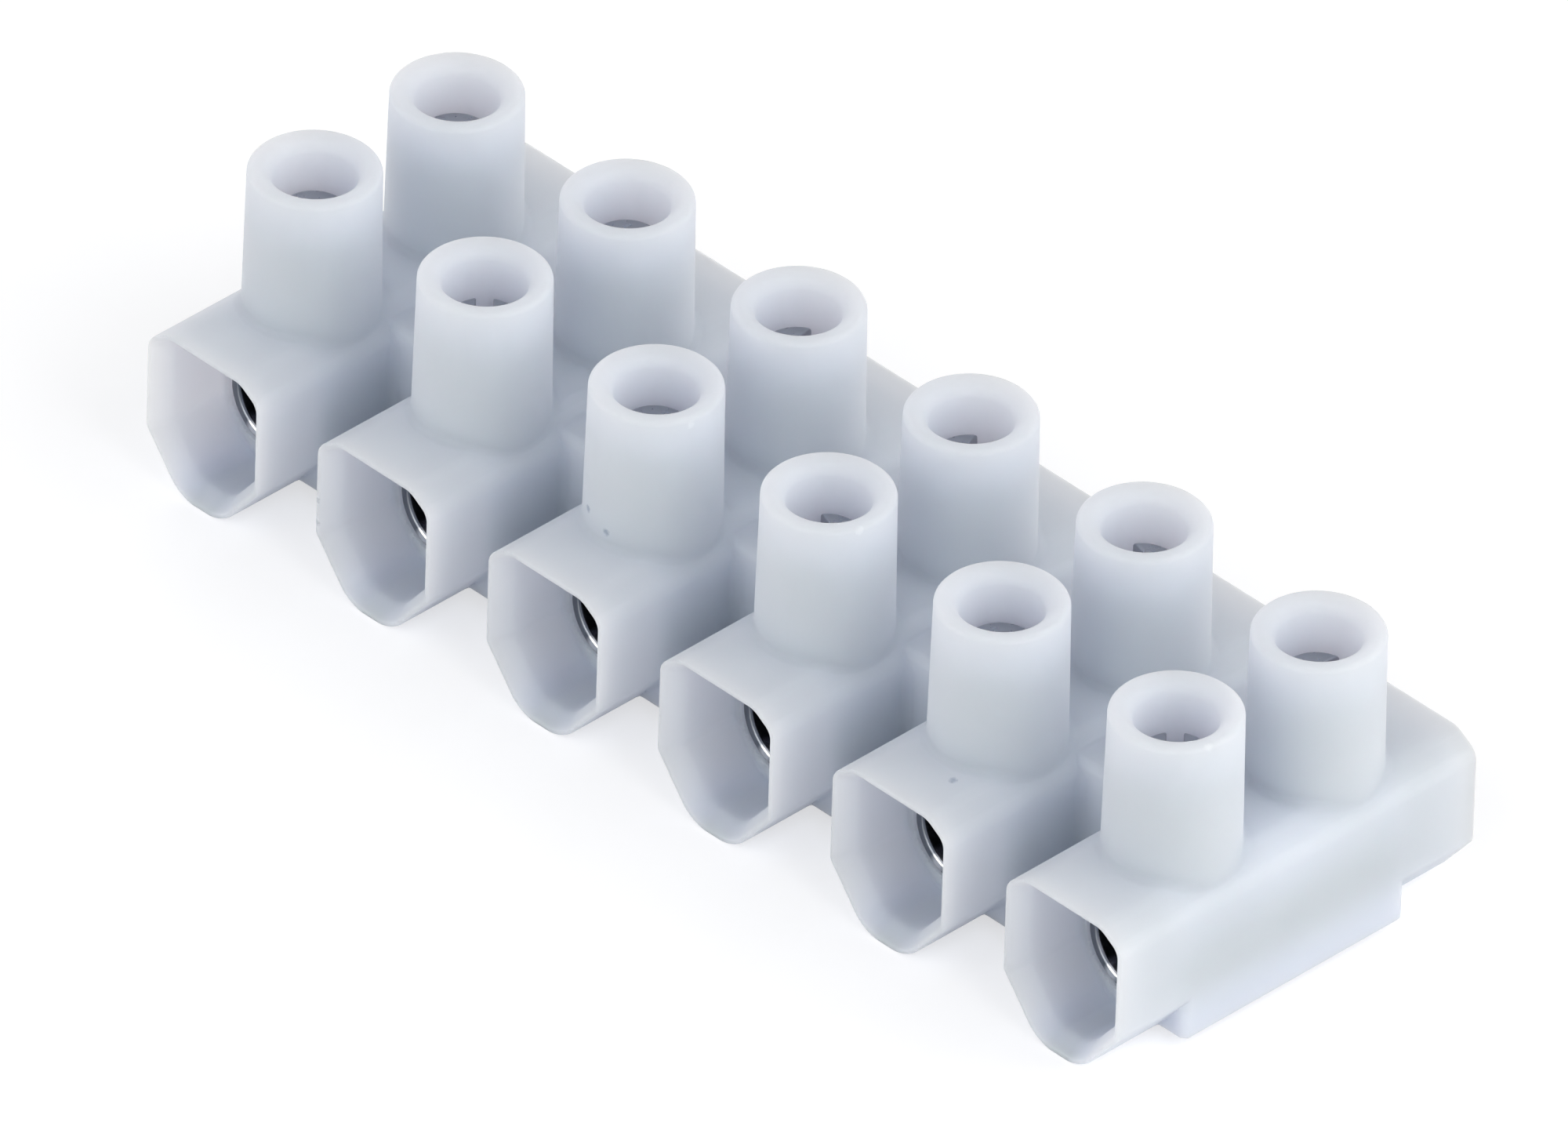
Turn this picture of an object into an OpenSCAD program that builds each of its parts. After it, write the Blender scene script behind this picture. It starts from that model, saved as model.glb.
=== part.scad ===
// Screw terminal strip: one moulded housing, a clamping barrel in each pole,
// and two slotted screws that reach each barrel through chimneys.
// Millimetres. X runs along the strip, wires enter along Y, screws stand along Z.
// The origin is under the middle of the strip, on the surface that it rests on.

/* [Strip] */
// Number of poles along the strip
poles = 6; // [2:1:12]
// Distance from one pole to the next
pitch = 10; // [9.4:0.1:14]
// Distance between the front and the rear screw of a pole
screw_spacing = 8.05; // [7.4:0.05:8.6]

/* [Barrel] */
// Outer diameter of the barrel
barrel_d = 4.5; // [4.2:0.05:5]
// Length of the barrel
barrel_l = 12.6; // [12.2:0.1:16]
// Diameter of the bore that takes the wires
wire_d = 3.6; // [2.6:0.05:3.7]
// Width of the chamfer at each end of the bore
bore_flare = 0.1; // [0.05:0.01:0.3]
// Width of the chamfer on the barrel's outer edges
barrel_edge = 0.1; // [0.02:0.01:0.15]

/* [Clamping screw] */
// Diameter over the thread
thread_d = 2.9; // [2.4:0.05:3]
// Length below the head
shank_l = 5; // [4.3:0.05:6]
// Diameter of the flat end of the tip
tip_d = 1.8; // [1:0.05:2]
// Length of the tip's taper
tip_l = 0.5; // [0.2:0.05:0.8]
// Diameter of the head
head_d = 3.1; // [3:0.05:3.4]
// Height of the head
head_h = 1.8; // [1.4:0.05:2.2]
// Rounding of the head's upper edge
head_round = 0.3; // [0.05:0.05:0.5]
// Width of the driver slot
slot_w = 0.7; // [0.4:0.05:1]
// Depth of the driver slot
slot_depth = 0.9; // [0.5:0.05:1.2]
// Height of the tip above the wire bore with the screw open
open_gap = 0.1; // [0:0.05:0.3]

/* [Poles] */
// Wall beside the barrel
side_wall = 1; // [0.8:0.01:1.3]
// Wall over the barrel
roof = 1.9; // [1.5:0.05:2.4]
// Wall under the barrel
floor_t = 1.2; // [1:0.05:1.8]
// Height at which the sides start to slope in
side_h = 2.55; // [2:0.05:3]
// Width across the bottom, between the sloping sides
floor_w = 2.5; // [1.8:0.05:3]
// Width of the bevel along each upper edge
bevel_w = 1.15; // [0.6:0.05:1.6]
// Height of the bevel along each upper edge
bevel_h = 0.75; // [0.5:0.05:1.2]
// Rounding between a bevel and the top
top_round = 0.8; // [0.3:0.05:1]
// Rounding between a bevel and the side
bevel_round = 0.3; // [0.2:0.05:0.6]
// Rounding where the sides start to slope
side_round = 0.4; // [0.3:0.05:1.5]
// Rounding of the bottom edges
low_round = 1.8; // [0.8:0.05:2]

/* [Wire entries] */
// Distance from the mouth's rim to the barrel
entry_l = 3.8; // [2.5:0.1:5]
// Thickness of the rim
lip = 0.2; // [0.1:0.01:0.4]
// Wall of the entry behind its funnel
entry_wall = 0.68; // [0.5:0.01:0.85]
// Depth of the funnel
funnel_l = 0.9; // [0.4:0.05:1.5]
// Depth of the step in front of the barrel's end
seat_lead = 0.1; // [0.05:0.05:0.4]

/* [Chimneys] */
// Height of a chimney above the pole
chimney_h = 6.65; // [5.5:0.05:8]
// Wall of a chimney at its rim
chimney_wall = 0.98; // [0.65:0.01:1.2]
// How much wider a chimney's radius is at its foot
draft = 0.1; // [0:0.01:0.15]
// Rounding of the rim's outer edge
rim_round = 0.15; // [0.1:0.05:0.4]
// Rounding of the rim's inner edge
bore_round = 0.45; // [0.1:0.05:0.5]
// How much wider a bore's radius is at the rim, to guide a driver
guide_w = 0.1; // [0.05:0.05:0.5]
// Depth of the bore's taper
guide_l = 2.1; // [1:0.1:4]
// Thickness of the ledge between a chimney's bore and the barrel
ledge = 0.9; // [0.5:0.05:1.2]

/* [Web and base] */
// Thickness of the web between two poles
web_t = 5; // [4:0.1:6]
// How far the web's top lies under the poles' tops
web_drop = 0.4; // [0:0.05:1]
// Rounding of the web's upper edges
web_round = 0.4; // [0.1:0.05:0.8]
// Width of the base, across the strip
base_w = 12.5; // [10:0.1:14]
// Thickness of the base
base_t = 2.3; // [2:0.05:2.8]
// Height of the base above the poles' undersides
base_lift = 0.6; // [0.2:0.05:1]
// Rounding of the base's upright edges
base_round = 0.4; // [0.1:0.05:1]
// Diameter of the fixing holes between the poles
fix_d = 3; // [2.2:0.1:3.2]

/* [Clearances] */
// Radial gap between a barrel and its seat
seat_gap = 0.05; // [0.02:0.01:0.1]
// Radial gap between a screw and its tapped hole
thread_gap = 0.05; // [0.02:0.01:0.1]
// Radial gap between a screw and the hole in the ledge
shank_gap = 0.1; // [0.05:0.05:0.3]
// Radial gap between a screw's head and its chimney
head_gap = 0.15; // [0.1:0.05:0.3]

/* [Hidden] */
$fn = 64;
// Straight stretches in each rounded corner of an outline
arc_steps = 5;
// How far a cut reaches past the face that it opens
cut_past = 0.3;
// Smallest rounding left on an outline that is moved inwards
least_round = 0.2;

pole_w = barrel_d + 2 * (seat_gap + side_wall);
pole_l = barrel_l + 2 * entry_l;
axis_z = floor_t + seat_gap + barrel_d / 2;
seat_r = barrel_d / 2 + seat_gap;
block_h = axis_z + seat_r + roof;
strip_l = (poles - 1) * pitch + pole_w;

chimney_top = block_h + chimney_h;
chimney_bore_r = head_d / 2 + head_gap;
chimney_r = chimney_bore_r + guide_w + chimney_wall;
ledge_top = axis_z + seat_r + ledge;

tip_z = axis_z + wire_d / 2 + open_gap;
screw_l = shank_l + head_h;
// Turn of each screw's slot about its axis, pole by pole
front_turns = [75, 135, 15, 160, 60, 135];
rear_turns = [10, 100, 150, 40, 120, 85];

front = -1;
rear = 1;

// Place of pole i along the strip, counted from 1
function pole_x(i) = (i - (poles + 1) / 2) * pitch;

function unit(v) = v / norm(v);
function left_of(v) = [-v.y, v.x];
function before(p, i) = p[(i + len(p) - 1) % len(p)];
function after(p, i) = p[(i + 1) % len(p)];

// A convex outline moved inwards by d
function inset(p, d) = [
    for (i = [0:len(p) - 1])
        let (m = left_of(unit(p[i] - before(p, i))), n = left_of(unit(after(p, i) - p[i])))
            p[i] + d * (m + n) / (1 + m * n)
];

// Points of an arc of radius r that rounds the corner b between a and c
function corner_arc(a, b, c, r) =
    let (
        u = unit(a - b),
        v = unit(c - b),
        half = acos(u * v) / 2,
        middle = b + unit(u + v) * r / sin(half),
        start = b + u * r / tan(half) - middle,
        first = atan2(start.y, start.x)
    )
    [
        for (s = [0:arc_steps])
            let (angle = first + (180 - 2 * half) * s / arc_steps)
                middle + r * [cos(angle), sin(angle)]
    ];

// A convex outline with its corners rounded by the radii in r
function rounded(p, r) = [
    for (i = [0:len(p) - 1])
        each corner_arc(before(p, i), p[i], after(p, i), r[i])
];

// Corners of a pole's section in X and Z, and the rounding of each
pole_corners = [
    [floor_w / 2, 0],
    [pole_w / 2, side_h],
    [pole_w / 2, block_h - bevel_h],
    [pole_w / 2 - bevel_w, block_h],
    [-pole_w / 2 + bevel_w, block_h],
    [-pole_w / 2, block_h - bevel_h],
    [-pole_w / 2, side_h],
    [-floor_w / 2, 0]
];
pole_rounds = [
    low_round, side_round, bevel_round, top_round,
    top_round, bevel_round, side_round, low_round
];

// A pole's section moved inwards by d
function pole_outline(d) = rounded(inset(pole_corners, d), [for (r = pole_rounds) max(r - d, least_round)]);

// A solid through pole outlines, each given as its place in Y and its inset
module pole_loft(stations) {
    rings = [for (s = stations) [for (p = pole_outline(s[1])) [p.x, s[0], p.y]]];
    n = len(rings[0]);
    last = len(rings) - 1;
    sides = [
        for (k = [0:last - 1])
            for (i = [0:n - 1])
                [k * n + i, k * n + (i + 1) % n, (k + 1) * n + (i + 1) % n, (k + 1) * n + i]
    ];
    front_cap = [for (i = [0:n - 1]) n - 1 - i];
    rear_cap = [for (i = [0:n - 1]) last * n + i];
    polyhedron([for (ring = rings) each ring], concat(sides, [front_cap, rear_cap]));
}

module pole_block() {
    rotate([90, 0, 0])
        linear_extrude(pole_l, center = true)
            polygon(pole_outline(0));
}

// Wire entry at the front of a pole: a funnel, then a straight stretch to the barrel
module wire_entry() {
    mouth_y = -pole_l / 2;
    funnel_slope = (entry_wall - lip) / funnel_l;
    pole_loft([
        [mouth_y - cut_past, lip - cut_past * funnel_slope],
        [mouth_y + funnel_l, entry_wall],
        [-barrel_l / 2 - seat_lead, entry_wall]
    ]);
}

module barrel_seat() {
    seat_l = barrel_l + 2 * (seat_lead + cut_past);
    translate([0, 0, axis_z])
        rotate([90, 0, 0])
            cylinder(h = seat_l, r = seat_r, center = true);
}

// Quarter circle from angle a, for the rounded edges of turned shapes
function quarter(centre, r, a) = [
    for (s = [0:arc_steps])
        centre + r * [cos(a + 90 * s / arc_steps), sin(a + 90 * s / arc_steps)]
];

module chimney() {
    rotate_extrude()
        polygon(concat(
            [[0, axis_z], [chimney_r + draft, axis_z], [chimney_r + draft, block_h]],
            quarter([chimney_r - rim_round, chimney_top - rim_round], rim_round, 0),
            [[0, chimney_top]]
        ));
}

// Bore of a chimney, tapered and rounded at its rim, and the hole through the ledge under it
module chimney_bore() {
    outside = [chimney_r, chimney_top];
    rim = [chimney_bore_r + guide_w, chimney_top];
    taper_end = [chimney_bore_r, chimney_top - guide_l];
    rim_arc = corner_arc(outside, rim, taper_end, bore_round);
    rotate_extrude()
        polygon(concat(
            [[0, ledge_top], [0, chimney_top + cut_past], [rim_arc[0].x, chimney_top + cut_past]],
            rim_arc,
            [taper_end, [chimney_bore_r, ledge_top]]
        ));
    translate([0, 0, axis_z])
        cylinder(h = ledge_top - axis_z + cut_past, r = thread_d / 2 + shank_gap);
}

// Web that joins the poles, from the first to the last
module web() {
    web_l = (poles - 1) * pitch;
    half = web_t / 2;
    top = block_h - web_drop;
    section = concat(
        [[-half, base_lift], [half, base_lift]],
        quarter([half - web_round, top - web_round], web_round, 0),
        quarter([-half + web_round, top - web_round], web_round, 90)
    );
    rotate([90, 0, 90])
        linear_extrude(web_l, center = true)
            polygon(section);
}

module base() {
    x = strip_l / 2;
    y = base_w / 2;
    corners = [[x, -y], [x, y], [-x, y], [-x, -y]];
    translate([0, 0, base_lift])
        linear_extrude(base_t)
            polygon(rounded(corners, [for (c = corners) base_round]));
}

// Children at every screw of the strip
module at_screws() {
    for (i = [1:poles], side = [front, rear])
        translate([pole_x(i), side * screw_spacing / 2, 0])
            children();
}

module fixing_holes() {
    for (i = [1:poles - 1])
        translate([pole_x(i) + pitch / 2, 0, 0])
            cylinder(h = chimney_top, d = fix_d);
}

module housing() {
    color("whitesmoke")
        difference() {
            union() {
                for (i = [1:poles])
                    translate([pole_x(i), 0, 0])
                        pole_block();
                at_screws() chimney();
                web();
                base();
            }
            for (i = [1:poles])
                translate([pole_x(i), 0, 0]) {
                    wire_entry();
                    mirror([0, 1, 0]) wire_entry();
                    barrel_seat();
                }
            at_screws() chimney_bore();
            fixing_holes();
        }
}

// Barrel of pole i: a tube along Y with two tapped holes from above
module barrel(i) {
    r = barrel_d / 2;
    half = barrel_l / 2;
    bore_r = wire_d / 2;
    color("silver")
        translate([pole_x(i), 0, axis_z])
            difference() {
                rotate([90, 0, 0])
                    rotate_extrude()
                        polygon([
                            [bore_r, -half + bore_flare],
                            [bore_r + bore_flare, -half],
                            [r - barrel_edge, -half],
                            [r, -half + barrel_edge],
                            [r, half - barrel_edge],
                            [r - barrel_edge, half],
                            [bore_r + bore_flare, half],
                            [bore_r, half - bore_flare]
                        ]);
                for (side = [front, rear])
                    translate([0, side * screw_spacing / 2, 0])
                        cylinder(h = barrel_d, r = thread_d / 2 + thread_gap);
            }
}

// Slotted screw of pole i on the given side, open, with its slot turned
module screw(i, side, turns) {
    head_r = head_d / 2;
    color("darkgray")
        translate([pole_x(i), side * screw_spacing / 2, tip_z])
            rotate(turns[(i - 1) % len(turns)])
                difference() {
                    rotate_extrude()
                        polygon(concat(
                            [[0, 0], [tip_d / 2, 0], [thread_d / 2, tip_l]],
                            [[thread_d / 2, shank_l], [head_r, shank_l]],
                            quarter([head_r - head_round, screw_l - head_round], head_round, 0),
                            [[0, screw_l]]
                        ));
                    translate([-head_d, -slot_w / 2, screw_l - slot_depth])
                        cube([2 * head_d, slot_w, slot_depth + cut_past]);
                }
}

housing();
for (i = [1:poles]) {
    barrel(i);
    screw(i, front, front_turns);
    screw(i, rear, rear_turns);
}
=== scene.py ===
"""Looks of a screw terminal strip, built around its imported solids.

The moulded housing, the barrels and the screws are meshed from signed distances, so that each
edge and corner has the soft rounding of the real piece. Sizes are in millimetres in the frame
of the solids, and meshes are written in metres.
"""
import itertools
import math

import bpy
import numpy as np
from mathutils import Matrix, Vector


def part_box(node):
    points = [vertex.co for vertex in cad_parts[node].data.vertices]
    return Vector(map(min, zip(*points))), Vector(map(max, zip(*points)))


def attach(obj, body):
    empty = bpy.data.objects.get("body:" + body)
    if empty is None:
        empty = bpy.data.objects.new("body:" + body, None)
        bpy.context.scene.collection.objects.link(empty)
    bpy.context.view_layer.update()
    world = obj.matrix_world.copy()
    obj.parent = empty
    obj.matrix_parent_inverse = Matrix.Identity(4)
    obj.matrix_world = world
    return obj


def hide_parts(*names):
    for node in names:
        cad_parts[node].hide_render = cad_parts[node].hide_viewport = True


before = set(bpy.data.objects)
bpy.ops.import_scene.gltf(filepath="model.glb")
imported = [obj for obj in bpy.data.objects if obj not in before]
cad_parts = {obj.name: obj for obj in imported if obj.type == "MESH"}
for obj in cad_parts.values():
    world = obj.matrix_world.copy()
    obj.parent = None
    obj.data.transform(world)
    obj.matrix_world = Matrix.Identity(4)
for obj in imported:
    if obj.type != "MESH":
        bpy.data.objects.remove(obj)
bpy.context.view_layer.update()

MM = 0.001


def box_mm(node):
    """Lowest and highest corner of a solid, in millimetres."""
    low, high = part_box(node)
    return np.array(low) / MM, np.array(high) / MM


# Sizes read from the solids
POLES = sum(name.startswith("barrel_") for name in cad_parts)
STRIP_HALF_L, POLE_HALF_L, CHIMNEY_TOP = box_mm("housing")[1]
barrel_low, barrel_high = box_mm("barrel_1")
BARREL_R = (barrel_high[0] - barrel_low[0]) / 2
BARREL_HALF_L = barrel_high[1]
AXIS_Z = (barrel_low[2] + barrel_high[2]) / 2
POLE_X = [float(np.mean([corner[0] for corner in box_mm(f"barrel_{i + 1}")])) for i in range(POLES)]
PITCH = POLE_X[1] - POLE_X[0]
screw_low, screw_high = box_mm("screw_rear_1")
SCREW_Y = (screw_low[1] + screw_high[1]) / 2
SCREW_L = screw_high[2] - screw_low[2]
TIP_Z = screw_low[2]
HEAD_R = (screw_high[0] - screw_low[0]) / 2

# Poles
POLE_HALF_W = STRIP_HALF_L - POLE_X[-1]
BLOCK_H = 7.7
SIDE_H = 2.55
FLOOR_HALF_W = 1.25
BEVEL_W = 1.15
BEVEL_H = 0.75
TOP_ROUND = 1.0
BEVEL_ROUND = 0.8
SIDE_ROUND = 0.4
LOW_ROUND = 1.8
LEAST_ROUND = 0.5

# Wire entries and barrel seats
LIP = 0.2
ENTRY_WALL = 0.68
FUNNEL_L = 0.9
FUNNEL_SOFT = 0.12
SEAT_GAP = 0.05
SEAT_LEAD = 0.1
SEAT_R = BARREL_R + SEAT_GAP
SEAT_END = BARREL_HALF_L + SEAT_LEAD
SEAT_ROUND = 0.16

# Chimneys
CHIMNEY_R = 2.78
DRAFT = 0.1
RIM_ROUND = 0.25
BORE_ROUND = 0.65
CHIMNEY_BORE_R = 1.7
GUIDE_W = 0.1
GUIDE_L = 2.1
LEDGE_TOP = 6.7
LEDGE_HOLE_R = 1.55

# Web, base and fixing holes
WEB_HALF_T = 2.5
WEB_TOP = 7.3
WEB_ROUND = 0.4
BASE_HALF_W = 6.25
BASE_LOW = 0.6
BASE_TOP = 2.9
BASE_ROUND = 0.4
FIX_R = 1.5

# Fillets between the housing's forms, and the rounding of its small edges
CHIMNEY_FILLET = 0.35
WEB_FILLET = 0.5
BASE_FILLET = 0.25
LEAST_FILLET = 1e-4
HOLE_ROUND = 0.2
EDGE = 0.08
# Share of the chimneys' fillet that fades out where their walls line up with the poles' sides
CHIMNEY_FADE = 0.75
# Share of the web's fillet that fades out, and the depths under the web's top between which it does
WEB_FADE = 0.85
WEB_FADE_FROM, WEB_FADE_TO = 1.1, 0.2
# Share of the base's fillet that stays at its underside, and the heights and the distances from the
# strip's ends over which it grows to the whole
BASE_LOW_SHARE = 0.2
BASE_FADE_FROM, BASE_FADE_TO = 0.2, 1.0
END_FADE_FROM, END_FADE_TO = 0.2, 1.2

# Barrels
WIRE_R = 1.8
BORE_FLARE = 0.1
BARREL_EDGE = 0.1
BORE_EDGE = 0.04
TAP_R = 1.5

# Screws
THREAD_R = 1.45
THREAD_PITCH = 0.5
THREAD_DEPTH = 0.27
# Shares of half a turn that the thread's root and its flank take up
THREAD_ROOT = 0.2
THREAD_FLANK = 0.6
SHANK_L = 5.0
TIP_R = 0.9
TIP_L = 0.5
HEAD_ROUND = 0.3
SLOT_W = 0.7
SLOT_DEPTH = 0.9
# Turn of each screw's slot about its axis in degrees, pole by pole
SLOT_TURNS = {"front": [75, 135, 15, 160, 60, 135], "rear": [10, 40, 100, 110, 165, 85]}

# Triangles left in each mesh
HOUSING_TRIANGLES = 190_000
BARREL_TRIANGLES = 14_000
SCREW_TRIANGLES = 16_000

# Steps of the grid on which the housing is meshed, and the zones where it is finer
PLAIN_STEP = 0.14
SIDE_STEP = 0.09
GAP_STEP = 0.15
END_STEP = 0.06
RISE_STEP = 0.13
CHIMNEY_STEP = 0.5
RIM_STEP = 0.07
SIDE_ZONE = (2.3, 3.4)
END_ZONE = 0.4
FOOT_ZONE = 0.36
UNDER_BLOCK_TOP, OVER_BLOCK_TOP = 0.5, 0.7
RIM_ZONE = 0.8
GRID_PAST = 0.12
GRID_PAST_ENDS = 0.3


# Signed distances

def rounded_and(a, b, r):
    """What is inside both a and b, with the edge between them rounded by r."""
    return np.minimum(-r, np.maximum(a, b)) + np.hypot(np.maximum(a + r, 0), np.maximum(b + r, 0))


def filleted_or(a, b, r):
    """What is inside a or b, with a fillet of r between them."""
    return -rounded_and(-a, -b, r)


def cut(a, b, r):
    """What is inside a and outside b, with the edge between them rounded by r."""
    return rounded_and(a, -b, r)


def ease(value, start, end):
    """0 before start, 1 after end and a soft step between."""
    t = np.clip((value - start) / (end - start), 0, 1)
    return t * t * (3 - 2 * t)


def normal_of(run, rise):
    """Outward normal, in X and Z, of a face that falls by rise while it leads outwards by run."""
    return rise / math.hypot(run, rise), run / math.hypot(run, rise)


def pole_section(across, z, inset):
    """Distance from a pole's outline in X and Z, moved inwards by inset."""
    slope_x, slope_z = normal_of(FLOOR_HALF_W - POLE_HALF_W, SIDE_H)
    bevel_x, bevel_z = normal_of(BEVEL_W, BEVEL_H)
    across = np.abs(across)
    side = across - POLE_HALF_W + inset
    top = z - BLOCK_H + inset
    bevel = (across - POLE_HALF_W + BEVEL_W) * bevel_x + (z - BLOCK_H) * bevel_z + inset
    slope = (across - FLOOR_HALF_W) * slope_x + z * slope_z + inset
    low = inset - z

    def corner(radius, turn_cosine):
        # A rounded corner of less than a right angle takes a smaller share of its radius
        return np.maximum(radius - inset, LEAST_ROUND) * (1 - turn_cosine)

    section = rounded_and(side, bevel, corner(BEVEL_ROUND, bevel_x))
    section = rounded_and(section, top, corner(TOP_ROUND, bevel_z))
    section = rounded_and(section, slope, corner(SIDE_ROUND, slope_x))
    return rounded_and(section, low, corner(LOW_ROUND, -slope_z))


def housing_field(x, y, z):
    """Distance from the housing's surface, below 0 inside the plastic."""
    along = np.abs(y)
    across = x - (np.clip(np.round((x - POLE_X[0]) / PITCH), 0, POLES - 1) * PITCH + POLE_X[0])
    end_x = np.abs(x) - STRIP_HALF_L

    # Poles
    body = rounded_and(pole_section(across, z, inset=0.0), along - POLE_HALF_L, EDGE)

    # Web between the poles
    web_ends = np.maximum(np.abs(x) - POLE_X[-1], BASE_LOW - z)
    web = rounded_and(along - WEB_HALF_T, z - WEB_TOP, WEB_ROUND)
    web = rounded_and(web, web_ends, EDGE)
    # The web's top runs almost level into the poles, so its fillet fades out there
    level = ease(z, WEB_TOP - WEB_FADE_FROM, WEB_TOP - WEB_FADE_TO)
    body = filleted_or(body, web, WEB_FILLET * (1 - WEB_FADE * level))

    # Base
    base_height = np.maximum(z - BASE_TOP, BASE_LOW - z)
    base = rounded_and(end_x, along - BASE_HALF_W, BASE_ROUND)
    base = rounded_and(base, base_height, EDGE)
    # The base's fillet is smaller low down, and it fades out at the strip's ends, where the base is
    # flush with the outer poles
    raised = ease(z, BASE_LOW + BASE_FADE_FROM, BASE_LOW + BASE_FADE_TO)
    inward = ease(-end_x, END_FADE_FROM, END_FADE_TO)
    kept = inward * (BASE_LOW_SHARE + (1 - BASE_LOW_SHARE) * raised)
    body = filleted_or(body, base, BASE_FILLET * kept + LEAST_FILLET)

    # Chimneys
    radius = np.hypot(across, along - SCREW_Y)
    height = np.clip((CHIMNEY_TOP - z) / (CHIMNEY_TOP - BLOCK_H), 0, 1)
    chimney = rounded_and(radius - CHIMNEY_R - DRAFT * height, z - CHIMNEY_TOP, RIM_ROUND)
    chimney = np.maximum(chimney, AXIS_Z - z)
    # Beside a pole's rounded upper edge the chimney's wall and the pole's side almost line up
    lined_up = ease(np.abs(across), POLE_HALF_W - BEVEL_W, POLE_HALF_W)
    body = filleted_or(body, chimney, CHIMNEY_FILLET * (1 - CHIMNEY_FADE * lined_up))

    # Bores that widen towards the rim, and the holes in the ledges under them
    taper = GUIDE_W * np.maximum(z - CHIMNEY_TOP + GUIDE_L, 0) / GUIDE_L
    bore = rounded_and(radius - CHIMNEY_BORE_R - taper, LEDGE_TOP - z, EDGE)
    body = cut(body, bore, BORE_ROUND)
    ledge_hole = np.maximum(radius - LEDGE_HOLE_R, AXIS_Z - z)
    body = cut(body, ledge_hole, EDGE)

    # Wire entries with their funnels, and the barrels' seats
    ramp = 1 - (POLE_HALF_L - along) / FUNNEL_L
    flare = (ramp + np.hypot(ramp, FUNNEL_SOFT)) / 2
    entry = pole_section(across, z, ENTRY_WALL - (ENTRY_WALL - LIP) * flare)
    entry = rounded_and(entry, SEAT_END - along, SEAT_ROUND)
    body = cut(body, entry, EDGE)
    seat = np.maximum(np.hypot(across, z - AXIS_Z) - SEAT_R, along - SEAT_END - LIP)
    body = cut(body, seat, EDGE)

    # Fixing holes
    holes = POLES // 2 - 1
    between = x - np.clip(np.round(x / PITCH), -holes, holes) * PITCH
    return cut(body, np.hypot(between, y) - FIX_R, HOLE_ROUND)


def barrel_field(x, y, z):
    """Distance from a barrel that lies along Y, with its middle at the origin."""
    along = np.abs(y)
    radius = np.hypot(x, z)
    tube = rounded_and(radius - BARREL_R, along - BARREL_HALF_L, BARREL_EDGE)
    flare = (radius - WIRE_R - BORE_FLARE + BARREL_HALF_L - along) / math.sqrt(2)
    tube = cut(tube, filleted_or(radius - WIRE_R, flare, EDGE), BORE_EDGE)
    tapped = np.maximum(np.hypot(x, along - SCREW_Y) - TAP_R, -z)
    return cut(tube, tapped, EDGE)


def screw_field(x, y, z):
    """Distance from a screw that stands on its tip at the origin, with its slot along X."""
    radius = np.hypot(x, y)
    turn = z / THREAD_PITCH - np.arctan2(y, x) / (2 * math.pi)
    wave = np.abs(2 * (turn - np.floor(turn)) - 1)
    crest = np.clip((wave - THREAD_ROOT) / THREAD_FLANK, 0, 1)
    steepness = math.hypot(1, THREAD_DEPTH / (THREAD_FLANK / 2 * THREAD_PITCH))
    shank = (radius - THREAD_R + THREAD_DEPTH * (1 - crest)) / steepness
    cone = (radius - TIP_R) * TIP_L - z * (THREAD_R - TIP_R)
    shank = np.maximum(shank, cone / math.hypot(TIP_L, THREAD_R - TIP_R))
    shank = np.maximum(shank, np.maximum(-z, z - SHANK_L - HEAD_ROUND))
    head = rounded_and(radius - HEAD_R, z - SCREW_L, HEAD_ROUND)
    head = rounded_and(head, SHANK_L - z, EDGE)
    slot = np.maximum(np.abs(y) - SLOT_W / 2, SCREW_L - SLOT_DEPTH - z)
    return cut(np.minimum(shank, head), slot, EDGE)


# Meshes from signed distances

CELL_CORNERS = list(itertools.product((0, 1), repeat=3))


def graded(*stops):
    """Grid lines from one place to the next, given as place, step, place, step and so on."""
    places, steps = stops[0::2], stops[1::2]
    stretches = [
        np.linspace(a, b, max(1, round((b - a) / step)), endpoint=False)
        for a, b, step in zip(places, places[1:], steps)
    ]
    return np.concatenate([*stretches, [places[-1]]])


def mirrored(lines):
    """Grid lines that start at 0, on both sides of it."""
    return np.concatenate([-lines[:0:-1], lines])


def net_vertices(values, lines, cells):
    """A vertex for each of the cells, the mean of the places where the surface crosses its edges."""
    total = np.zeros((len(cells), 3))
    hits = np.zeros(len(cells))
    for axis, corner in itertools.product(range(3), CELL_CORNERS):
        if corner[axis]:
            continue
        start = cells + corner
        end = start.copy()
        end[:, axis] += 1
        first, last = values[tuple(start.T)], values[tuple(end.T)]
        crossing = (first < 0) != (last < 0)
        share = np.where(crossing, first / np.where(crossing, first - last, 1), 0)
        place = np.stack([lines[k][start[:, k]] for k in range(3)], 1)
        place[:, axis] += share * (lines[axis][end[:, axis]] - place[:, axis])
        total += np.where(crossing[:, None], place, 0)
        hits += crossing
    return total / hits[:, None]


def net_quads(inside, number):
    """Quads that each join the four numbered cells round a grid edge that the surface crosses."""
    quads = []
    for axis in range(3):
        u, v = (axis + 1) % 3, (axis + 2) % 3
        low = [slice(1, -1)] * 3
        high = [slice(1, -1)] * 3
        low[axis], high[axis] = slice(None, -1), slice(1, None)
        leaving = inside[tuple(low)]
        change = leaving != inside[tuple(high)]
        edges = np.argwhere(change)
        edges[:, u] += 1
        edges[:, v] += 1
        ring = []
        for du, dv in ((-1, -1), (0, -1), (0, 0), (-1, 0)):
            cell = edges.copy()
            cell[:, u] += du
            cell[:, v] += dv
            ring.append(number[tuple(cell.T)])
        ring = np.stack(ring, 1)
        backwards = ~leaving[change]
        ring[backwards] = ring[backwards][:, ::-1]
        quads.append(ring)
    return np.concatenate(quads)


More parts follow.
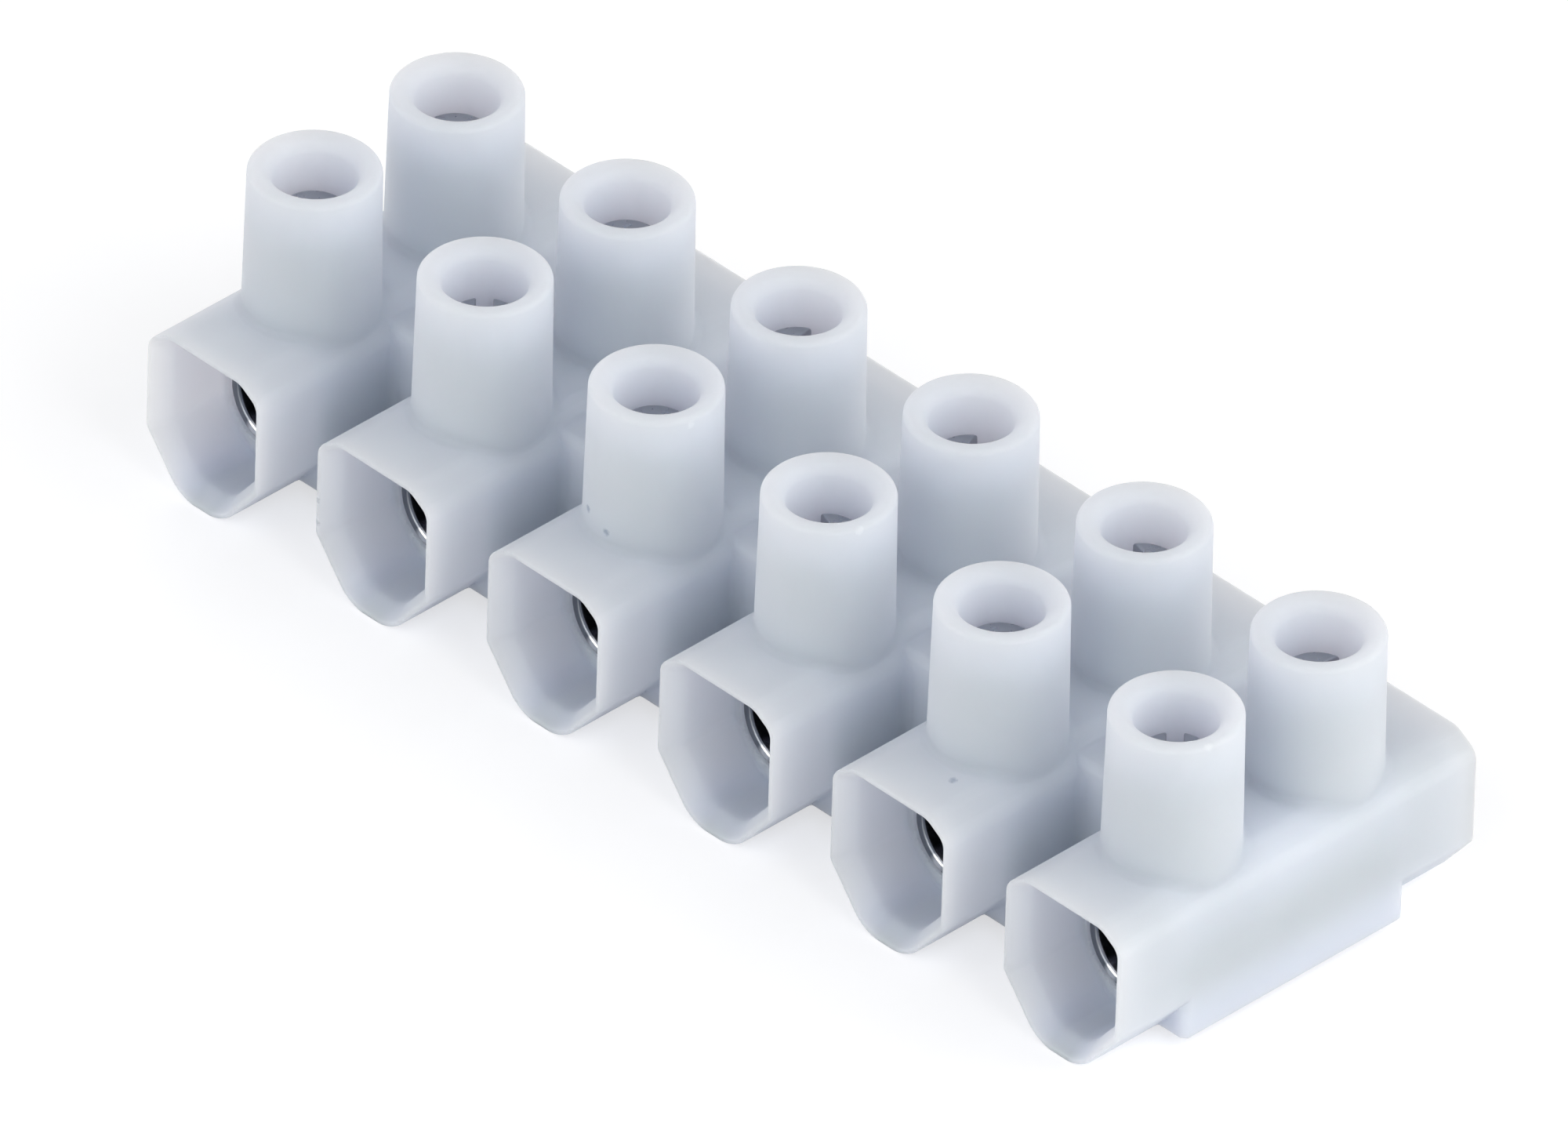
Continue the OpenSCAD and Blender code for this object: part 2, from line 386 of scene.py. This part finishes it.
def surface_net(field, lines):
    """Vertices and quads of a field's zero surface, one vertex in each grid cell that it crosses."""
    values = field(*np.ix_(*lines)).astype(np.float32)
    inside = values < 0
    cell_shape = [n - 1 for n in values.shape]

    def at(offset):
        return tuple(slice(o, o + n) for o, n in zip(offset, cell_shape))

    count = sum(inside[at(corner)].astype(np.int8) for corner in CELL_CORNERS)
    crossed = (count > 0) & (count < len(CELL_CORNERS))
    cells = np.argwhere(crossed)
    number = np.full(cell_shape, -1, np.int64)
    number[crossed] = np.arange(len(cells))
    return net_vertices(values, lines, cells), net_quads(inside, number)


def slope_of(field, points, reach=0.004):
    """Value and gradient of a field at points."""
    value = field(*points.T)
    gradient = np.empty_like(points)
    for axis in range(3):
        step = np.zeros(3)
        step[axis] = reach
        gradient[:, axis] = field(*(points + step).T) - field(*(points - step).T)
    return value, gradient / (2 * reach)


def settled(field, points, passes, most=0.05, least_slope=1e-3):
    """Points moved onto a field's zero surface, each pass by no more than most."""
    for _ in range(passes):
        value, gradient = slope_of(field, points)
        move = value / np.maximum((gradient ** 2).sum(1), least_slope)
        points = points - np.clip(move, -most, most)[:, None] * gradient
    return points


def mesh_of(name, vertices, quads):
    """A mesh in metres of vertices in millimetres and quads."""
    mesh = bpy.data.meshes.new(name)
    mesh.vertices.add(len(vertices))
    mesh.vertices.foreach_set("co", (vertices * MM).astype(np.float32).ravel())
    mesh.loops.add(quads.size)
    mesh.loops.foreach_set("vertex_index", quads.astype(np.int32).ravel())
    mesh.polygons.add(len(quads))
    mesh.polygons.foreach_set("loop_start", np.arange(0, quads.size, quads.shape[1], dtype=np.int32))
    mesh.update(calc_edges=True)
    return mesh


def thinned(mesh, triangles):
    """The mesh with flat stretches thinned out until that many triangles are left."""
    helper = bpy.data.objects.new("thinning", mesh)
    bpy.context.scene.collection.objects.link(helper)
    collapse = helper.modifiers.new("collapse", "DECIMATE")
    collapse.ratio = min(1, triangles / (2 * len(mesh.polygons)))
    collapse.use_collapse_triangulate = True
    result = bpy.data.meshes.new_from_object(helper.evaluated_get(bpy.context.evaluated_depsgraph_get()))
    bpy.data.objects.remove(helper)
    bpy.data.meshes.remove(mesh)
    return result


def soften(mesh, field, sharp_cosine=0.85, least_length=1e-9):
    """Moves the vertices onto the field's surface, and gives each corner the surface's normal there.

    At a sharp edge, where the surface has no one normal, a corner keeps its face's.
    """
    points = np.empty(len(mesh.vertices) * 3, np.float32)
    mesh.vertices.foreach_get("co", points)
    points = settled(field, points.reshape(-1, 3).astype(float) / MM, passes=2, most=0.03)
    mesh.vertices.foreach_set("co", (points * MM).astype(np.float32).ravel())
    mesh.update()
    mesh.shade_smooth()
    normals = slope_of(field, points)[1]
    normals /= np.maximum(np.linalg.norm(normals, axis=1), least_length)[:, None]
    faces = np.empty(len(mesh.polygons) * 3, np.float32)
    mesh.polygons.foreach_get("normal", faces)
    vertex = np.empty(len(mesh.loops), np.int32)
    mesh.loops.foreach_get("vertex_index", vertex)
    corner = normals[vertex]
    face = np.repeat(faces.reshape(-1, 3), 3, axis=0)
    sharp = (corner * face).sum(1) < sharp_cosine
    corner[sharp] = face[sharp]
    mesh.normals_split_custom_set(corner.tolist())


def solid_mesh(name, field, lines, triangles):
    """A smooth closed mesh of a field's zero surface."""
    vertices, quads = surface_net(field, lines)
    vertices = settled(field, vertices, passes=2)
    mesh = thinned(mesh_of(name, vertices, quads), triangles)
    mesh.name = name
    soften(mesh, field)
    return mesh


def piece(name, mesh, material, body, node, place=Matrix.Identity(4)):
    """An object that stands for a solid and rides on its body."""
    made = bpy.data.objects.new(name, mesh)
    bpy.context.scene.collection.objects.link(made)
    if not mesh.materials:
        mesh.materials.append(material)
    made.matrix_world = place
    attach(made, body)
    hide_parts(node)


# Materials

class Shader:
    """A node material with a Principled surface, and short ways to add nodes to it."""

    # Share of a spot's radius within which it has its full colour
    SPOT_CORE = 0.4
    # Mean of the noise node's values
    NOISE_MEAN = 0.5

    def __init__(self, name):
        self.material = bpy.data.materials.new(name)
        self.material.use_nodes = True
        self.tree = self.material.node_tree
        self.surface = self.tree.nodes["Principled BSDF"]
        self.place = self.add("ShaderNodeTexCoord").outputs["Object"]

    def add(self, kind, **settings):
        """A new node with those settings."""
        node = self.tree.nodes.new(kind)
        for key, value in settings.items():
            setattr(node, key, value)
        return node

    def link(self, output, socket):
        """Joins a node's output to a socket."""
        self.tree.links.new(output, socket)

    def noise_node(self, size_mm):
        """A noise node with lumps of about that size."""
        node = self.add("ShaderNodeTexNoise")
        self.link(self.place, node.inputs["Vector"])
        node.inputs["Scale"].default_value = 1 / (size_mm * MM)
        return node

    def noise(self, size_mm, detail, roughness=0.5):
        """Values of noise with lumps of about that size."""
        node = self.noise_node(size_mm)
        node.inputs["Detail"].default_value = detail
        node.inputs["Roughness"].default_value = roughness
        return node.outputs["Fac"]

    def spread(self, value, low, high, start=0.3, end=0.7):
        """A value from start to end, by default where most noise lies, brought between low and high."""
        node = self.add("ShaderNodeMapRange")
        self.link(value, node.inputs["Value"])
        for key, number in zip(("From Min", "From Max", "To Min", "To Max"), (start, end, low, high)):
            node.inputs[key].default_value = number
        return node.outputs["Result"]

    def blend(self, share, first, second):
        """A colour between two, by a share."""
        node = self.add("ShaderNodeMix", data_type="RGBA")
        self.link(share, node.inputs["Factor"])
        for key, colour in (("A", first), ("B", second)):
            socket = next(s for s in node.inputs if s.name == key and s.type == "RGBA")
            if isinstance(colour, tuple):
                socket.default_value = (*colour, 1)
            else:
                self.link(colour, socket)
        return next(s for s in node.outputs if s.type == "RGBA")

    def mottled(self, colours, size_mm, detail):
        """A colour that wavers between two, in lumps of about that size."""
        return self.blend(self.spread(self.noise(size_mm, detail), 0, 1), *colours)

    def height(self):
        """Height above the piece's origin, in metres."""
        node = self.add("ShaderNodeSeparateXYZ")
        self.link(self.place, node.inputs["Vector"])
        return node.outputs["Z"]

    def wavering(self, size_mm, reach_mm):
        """Places moved about a little by noise, so that what is drawn from them has ragged edges."""
        node = self.noise_node(size_mm)
        moved = self.add("ShaderNodeVectorMath", operation="MULTIPLY_ADD")
        self.link(node.outputs["Color"], moved.inputs[0])
        moved.inputs[1].default_value = [reach_mm * MM] * 3
        self.link(self.place, moved.inputs[2])
        back = self.add("ShaderNodeVectorMath", operation="SUBTRACT")
        self.link(moved.outputs["Vector"], back.inputs[0])
        back.inputs[1].default_value = [self.NOISE_MEAN * reach_mm * MM] * 3
        return back.outputs["Vector"]

    def spot(self, colour, places, centre_mm, radius_mm, mark):
        """The colour with a small spot of another on it, used for marks and for painted highlights."""
        distance = self.add("ShaderNodeVectorMath", operation="DISTANCE")
        self.link(places, distance.inputs[0])
        distance.inputs[1].default_value = [v * MM for v in centre_mm]
        core = self.SPOT_CORE * radius_mm * MM
        share = self.spread(distance.outputs["Value"], 1, 0, core, radius_mm * MM)
        return self.blend(share, colour, mark)

    def bump(self, height, depth_mm, strength):
        """Small unevenness of the surface, by a height."""
        node = self.add("ShaderNodeBump")
        node.inputs["Strength"].default_value = strength
        node.inputs["Distance"].default_value = depth_mm * MM
        self.link(height, node.inputs["Height"])
        self.drive("Normal", node.outputs["Normal"])

    def drive(self, key, output):
        """Gives a socket of the surface a value from a node."""
        self.link(output, self.surface.inputs[key])

    def rough(self, low, high, size_mm, detail):
        """Roughness that wavers between two values, in lumps of about that size."""
        self.drive("Roughness", self.spread(self.noise(size_mm, detail), low, high))

    def set(self, **values):
        """Sets values on the surface's own sockets."""
        for key, value in values.items():
            self.surface.inputs[key.replace("_", " ")].default_value = value


# Darkest and lightest colour of each material, and colours of the marks and painted highlights on them
PLASTIC = ((0.63, 0.675, 0.772), (0.65, 0.695, 0.792))
NICKEL = ((0.19, 0.205, 0.23), (0.26, 0.275, 0.30))
ZINC = ((0.31, 0.33, 0.37), (0.37, 0.39, 0.43))
# Painted glint: a bright spot on the barrels' nickel that stands in for a lamp's reflection
PAINTED_GLINT = (0.9, 0.9, 0.88)
SCUFF = (0.36, 0.41, 0.50)
# Painted highlight: light streaks below the chimneys' rims that stand in for a lamp's reflection on
# their rounded edge
PAINTED_RIM_HIGHLIGHT = (0.70, 0.745, 0.84)
# Scuffs of the moulding, and painted highlights below the chimneys' rims: place and radius in
# millimetres, and colour
SCUFFS_AND_HIGHLIGHTS = [
    ((16.13, -7.63, 7.7), 0.22, SCUFF),
    ((-6.04, -6.70, 8.73), 0.22, SCUFF),
    ((-4.77, -6.90, 8.33), 0.22, SCUFF),
    ((-18.25, -10.1, 4.24), 0.16, SCUFF),
    ((-18.22, -10.1, 3.11), 0.18, SCUFF),
    # Painted highlights below the rims
    ((-2.31, -4.71, 14.03), 0.24, PAINTED_RIM_HIGHLIGHT),
    ((7.65, -4.86, 14.18), 0.24, PAINTED_RIM_HIGHLIGHT),
    ((27.67, -4.80, 14.3), 0.24, PAINTED_RIM_HIGHLIGHT),
]
# The painted glint on a barrel's front end, a bright spot in place of a lamp's reflection: its place
# from the barrel's middle, and its radius
PAINTED_GLINT_PLACE = (-0.9, -BARREL_HALF_L, -1.75)
PAINTED_GLINT_R = 0.45
# How far light soaks into the plastic, in millimetres, at a low height where walls are thin and at a
# greater one, and how many times as far red, green and blue go
SOAK_LOW, SOAK_LOW_Z = 1.2, 0.5
SOAK_HIGH, SOAK_HIGH_Z = 5, 3
SOAK_BY_COLOUR = (1.15, 1.02, 1.08)


def plastic():
    """Natural white moulded plastic: satin, and cloudy enough for light to soak into it."""
    shader = Shader("cloudy_plastic")
    colour = shader.mottled(PLASTIC, size_mm=6, detail=3)
    ragged = shader.wavering(size_mm=0.25, reach_mm=0.3)
    # Scuffs, and painted highlights below the rims
    for centre, radius, mark in SCUFFS_AND_HIGHLIGHTS:
        colour = shader.spot(colour, ragged, centre, radius, mark)
    shader.drive("Base Color", colour)
    shader.rough(0.55, 0.67, size_mm=1.5, detail=4)
    shader.set(Subsurface_Weight=1.0, Subsurface_Radius=SOAK_BY_COLOUR)
    heights = (SOAK_LOW_Z * MM, SOAK_HIGH_Z * MM)
    depth = shader.spread(shader.height(), SOAK_LOW * MM, SOAK_HIGH * MM, *heights)
    shader.drive("Subsurface Scale", depth)
    shader.set(IOR=1.5, Specular_IOR_Level=0.2)
    grain = shader.noise(size_mm=0.25, detail=3, roughness=0.6)
    shader.bump(grain, depth_mm=0.006, strength=0.5)
    return shader.material


def nickel():
    """Bright nickel plate on turned brass."""
    shader = Shader("barrel_nickel")
    colour = shader.mottled(NICKEL, size_mm=0.8, detail=3)
    # Painted glint on the front end, a bright spot where a lamp's reflection falls
    colour = shader.spot(colour, shader.place, PAINTED_GLINT_PLACE, PAINTED_GLINT_R, PAINTED_GLINT)
    shader.drive("Base Color", colour)
    shader.rough(0.15, 0.25, size_mm=0.3, detail=3)
    shader.set(Metallic=1.0)
    shader.bump(shader.noise(size_mm=0.12, detail=2), depth_mm=0.004, strength=0.4)
    return shader.material


def zinc():
    """Zinc plate on steel."""
    shader = Shader("screw_zinc")
    shader.drive("Base Color", shader.mottled(ZINC, size_mm=1.2, detail=2))
    shader.rough(0.25, 0.35, size_mm=0.5, detail=2)
    shader.set(Metallic=1.0)
    shader.bump(shader.noise(size_mm=0.1, detail=2), depth_mm=0.002, strength=0.2)
    return shader.material


# Pieces

def make_housing(material):
    """The moulding, on a grid that is finest at the poles' sides and ends and at the rims."""
    half_cell = graded(0, PLAIN_STEP, SIDE_ZONE[0], SIDE_STEP, SIDE_ZONE[1], GAP_STEP, PITCH / 2)
    cell = mirrored(half_cell)[:-1]
    x_lines = np.concatenate([x + cell for x in POLE_X])
    x_lines = x_lines[np.abs(x_lines) < STRIP_HALF_L + GRID_PAST_ENDS]
    y_lines = mirrored(graded(0, PLAIN_STEP, POLE_HALF_L - END_ZONE, END_STEP, POLE_HALF_L + GRID_PAST))
    z_lines = graded(
        -GRID_PAST, END_STEP,
        FOOT_ZONE, RISE_STEP,
        BLOCK_H - UNDER_BLOCK_TOP, SIDE_STEP,
        BLOCK_H + OVER_BLOCK_TOP, CHIMNEY_STEP,
        CHIMNEY_TOP - RIM_ZONE, RIM_STEP,
        CHIMNEY_TOP + GRID_PAST,
    )
    lines = (x_lines, y_lines, z_lines)
    mesh = solid_mesh("housing_moulding", housing_field, lines, HOUSING_TRIANGLES)
    piece("housing_moulding", mesh, material, "strip", "housing")


def make_barrels(material):
    """Six copies of one tube."""
    side_step, along_step, end_step, end_zone = 0.09, 0.12, 0.05, 0.4
    side = mirrored(graded(0, side_step, BARREL_R + 2 * side_step))
    ends = (BARREL_HALF_L - end_zone, end_step, BARREL_HALF_L + 2 * end_step)
    y_lines = mirrored(graded(0, along_step, *ends))
    mesh = solid_mesh("barrel_tube", barrel_field, (side, y_lines, side), BARREL_TRIANGLES)
    for i, x in enumerate(POLE_X, 1):
        place = Matrix.Translation(Vector((x, 0, AXIS_Z)) * MM)
        piece(f"barrel_tube_{i}", mesh, material, "strip", f"barrel_{i}", place)


def make_screws(material):
    """Twelve copies of one screw, each turned by its own angle."""
    side_step, rise_step = 0.06, 0.05
    side = mirrored(graded(0, side_step, HEAD_R + 2 * side_step))
    z_lines = graded(-2 * side_step, rise_step, SCREW_L + 2 * rise_step)
    mesh = solid_mesh("clamping_screw", screw_field, (side, side, z_lines), SCREW_TRIANGLES)
    for row, sign in (("front", -1), ("rear", 1)):
        for i, (x, turn) in enumerate(zip(POLE_X, SLOT_TURNS[row]), 1):
            place = Matrix.Translation(Vector((x, sign * SCREW_Y, TIP_Z)) * MM)
            place = place @ Matrix.Rotation(math.radians(turn), 4, "Z")
            node = f"screw_{row}_{i}"
            piece(f"clamping_{node}", mesh, material, node, node, place)


# Stage, light and camera

# Floor in metres, with its colour and glow as it lights the strip and as it is seen
FLOOR_SIZE = 12.0
FLOOR_COLOUR, FLOOR_GLOW = (0.86, 0.86, 0.87), 0.04
SEEN_FLOOR_COLOUR, SEEN_FLOOR_GLOW = (0.6, 0.6, 0.61), 0.57
# Level of the light from all round, and of the background that is seen
WORLD_LEVEL = 0.01
SEEN_WORLD_LEVEL = 1
# Azimuth and elevation of each lamp in degrees, and its level beside that of a white sky
LAMPS = [
    (-52, 20, 0.46),
    (10, 31, 0.41),
    (55, 20, 0.23),
    (100, 36, 0.66),
    (145, 20, 0.38),
    (235, 18, 0.46),
]
# Size and distance of the lamps in metres
LAMP_SIZE = 0.5
LAMP_DISTANCE = 0.5

# Camera, with angles in degrees, lengths in millimetres and the clip range in metres
CAMERA_AZIMUTH = 44.642
CAMERA_ELEVATION = 36.435
CAMERA_ROLL = 1.894
CAMERA_DISTANCE = 2022.8
PHOTO_WIDTH, PHOTO_HEIGHT = 2000, 1436
# Pixels of the photograph for one millimetre at the camera's pivot, and where the pivot shows
PIXELS_PER_MM = 31.391
PIVOT_PIXEL = (1026.547, 864.19)
PIVOT = Vector((0, 0, 0.213))
SENSOR_WIDTH = 36
CLIP_START, CLIP_END = 0.1, 100


def seen_directly(tree):
    """1 for rays from the camera, and for those that a shiny surface or glass sends on."""
    path = tree.nodes.new("ShaderNodeLightPath")
    total = path.outputs["Is Camera Ray"]
    for name in ("Is Glossy Ray", "Is Transmission Ray"):
        either = tree.nodes.new("ShaderNodeMath")
        either.operation = "MAXIMUM"
        tree.links.new(total, either.inputs[0])
        tree.links.new(path.outputs[name], either.inputs[1])
        total = either.outputs[0]
    return total


def by_ray(tree, unseen, seen, output_kind):
    """Joins to the tree's output one shader for what is seen directly and one for all other rays."""
    choice = tree.nodes.new("ShaderNodeMixShader")
    tree.links.new(seen_directly(tree), choice.inputs["Fac"])
    tree.links.new(unseen.outputs[0], choice.inputs[1])
    tree.links.new(seen.outputs[0], choice.inputs[2])
    output = tree.nodes.new(output_kind)
    tree.links.new(choice.outputs[0], output.inputs["Surface"])


def glowing(tree, colour, strength):
    """A matt shader of a colour with an even white glow."""
    matt = tree.nodes.new("ShaderNodeBsdfDiffuse")
    matt.inputs["Color"].default_value = (*colour, 1)
    glow = tree.nodes.new("ShaderNodeEmission")
    glow.inputs["Strength"].default_value = strength
    both = tree.nodes.new("ShaderNodeAddShader")
    tree.links.new(matt.outputs[0], both.inputs[0])
    tree.links.new(glow.outputs[0], both.inputs[1])
    return both


def make_floor():
    """A white floor that keeps the soft shadow under the strip."""
    mesh = bpy.data.meshes.new("floor")
    half = FLOOR_SIZE / 2
    corners = [(-half, -half, 0), (half, -half, 0), (half, half, 0), (-half, half, 0)]
    mesh.from_pydata(corners, [], [(0, 1, 2, 3)])
    floor = bpy.data.objects.new("floor", mesh)
    bpy.context.scene.collection.objects.link(floor)
    material = bpy.data.materials.new("floor_white")
    material.use_nodes = True
    tree = material.node_tree
    tree.nodes.clear()
    unseen = glowing(tree, FLOOR_COLOUR, FLOOR_GLOW)
    seen = glowing(tree, SEEN_FLOOR_COLOUR, SEEN_FLOOR_GLOW)
    by_ray(tree, unseen, seen, "ShaderNodeOutputMaterial")
    mesh.materials.append(material)


def background(tree, strength):
    """A white sky of that strength."""
    sky = tree.nodes.new("ShaderNodeBackground")
    sky.inputs["Color"].default_value = (1, 1, 1, 1)
    sky.inputs["Strength"].default_value = strength
    return sky


def make_world():
    """A faint light from all round, and a white background."""
    world = bpy.data.worlds.new("studio")
    bpy.context.scene.world = world
    world.use_nodes = True
    tree = world.node_tree
    tree.nodes.clear()
    unseen = background(tree, WORLD_LEVEL)
    seen = background(tree, SEEN_WORLD_LEVEL)
    by_ray(tree, unseen, seen, "ShaderNodeOutputWorld")


def towards(azimuth, elevation):
    """Unit vector to a viewpoint, given in degrees; azimuth 0 is in front of the strip."""
    azimuth, elevation = math.radians(azimuth), math.radians(elevation)
    return Vector((
        math.sin(azimuth) * math.cos(elevation),
        -math.cos(azimuth) * math.cos(elevation),
        math.sin(elevation),
    ))


def make_lamps():
    """Large soft lamps all round."""
    for i, (azimuth, elevation, level) in enumerate(LAMPS, 1):
        data = bpy.data.lights.new(f"softbox_{i}", "AREA")
        data.size = LAMP_SIZE
        data.energy = level * (math.pi * LAMP_DISTANCE) ** 2
        lamp = bpy.data.objects.new(data.name, data)
        bpy.context.scene.collection.objects.link(lamp)
        direction = towards(azimuth, elevation)
        lamp.location = direction * LAMP_DISTANCE
        lamp.rotation_euler = direction.to_track_quat("Z", "Y").to_euler()


def make_camera():
    """The photograph's viewpoint: a long lens, high and to the right of the front."""
    roll = math.radians(CAMERA_ROLL)
    back = towards(CAMERA_AZIMUTH, CAMERA_ELEVATION)
    level = Vector((-back.y, back.x, 0)).normalized()
    upright = back.cross(level)
    right = level * math.cos(roll) + upright * math.sin(roll)
    up = upright * math.cos(roll) - level * math.sin(roll)
    eye = PIVOT + back * CAMERA_DISTANCE
    aim = PIVOT + right * ((PHOTO_WIDTH / 2 - PIVOT_PIXEL[0]) / PIXELS_PER_MM)
    aim += up * ((PIVOT_PIXEL[1] - PHOTO_HEIGHT / 2) / PIXELS_PER_MM)
    back = (eye - aim).normalized()
    right = (right - back * right.dot(back)).normalized()
    up = back.cross(right)
    data = bpy.data.cameras.new("camera")
    data.sensor_width = SENSOR_WIDTH
    data.lens = PIXELS_PER_MM * CAMERA_DISTANCE * data.sensor_width / PHOTO_WIDTH
    data.clip_start, data.clip_end = CLIP_START, CLIP_END
    camera = bpy.data.objects.new("camera", data)
    bpy.context.scene.collection.objects.link(camera)
    turn = Matrix((right, up, back)).transposed().to_4x4()
    camera.matrix_world = Matrix.Translation(eye * MM) @ turn
    bpy.context.scene.camera = camera


make_housing(plastic())
make_barrels(nickel())
make_screws(zinc())
make_floor()
make_world()
make_lamps()
make_camera()
bpy.context.scene.view_settings.view_transform = "Standard"
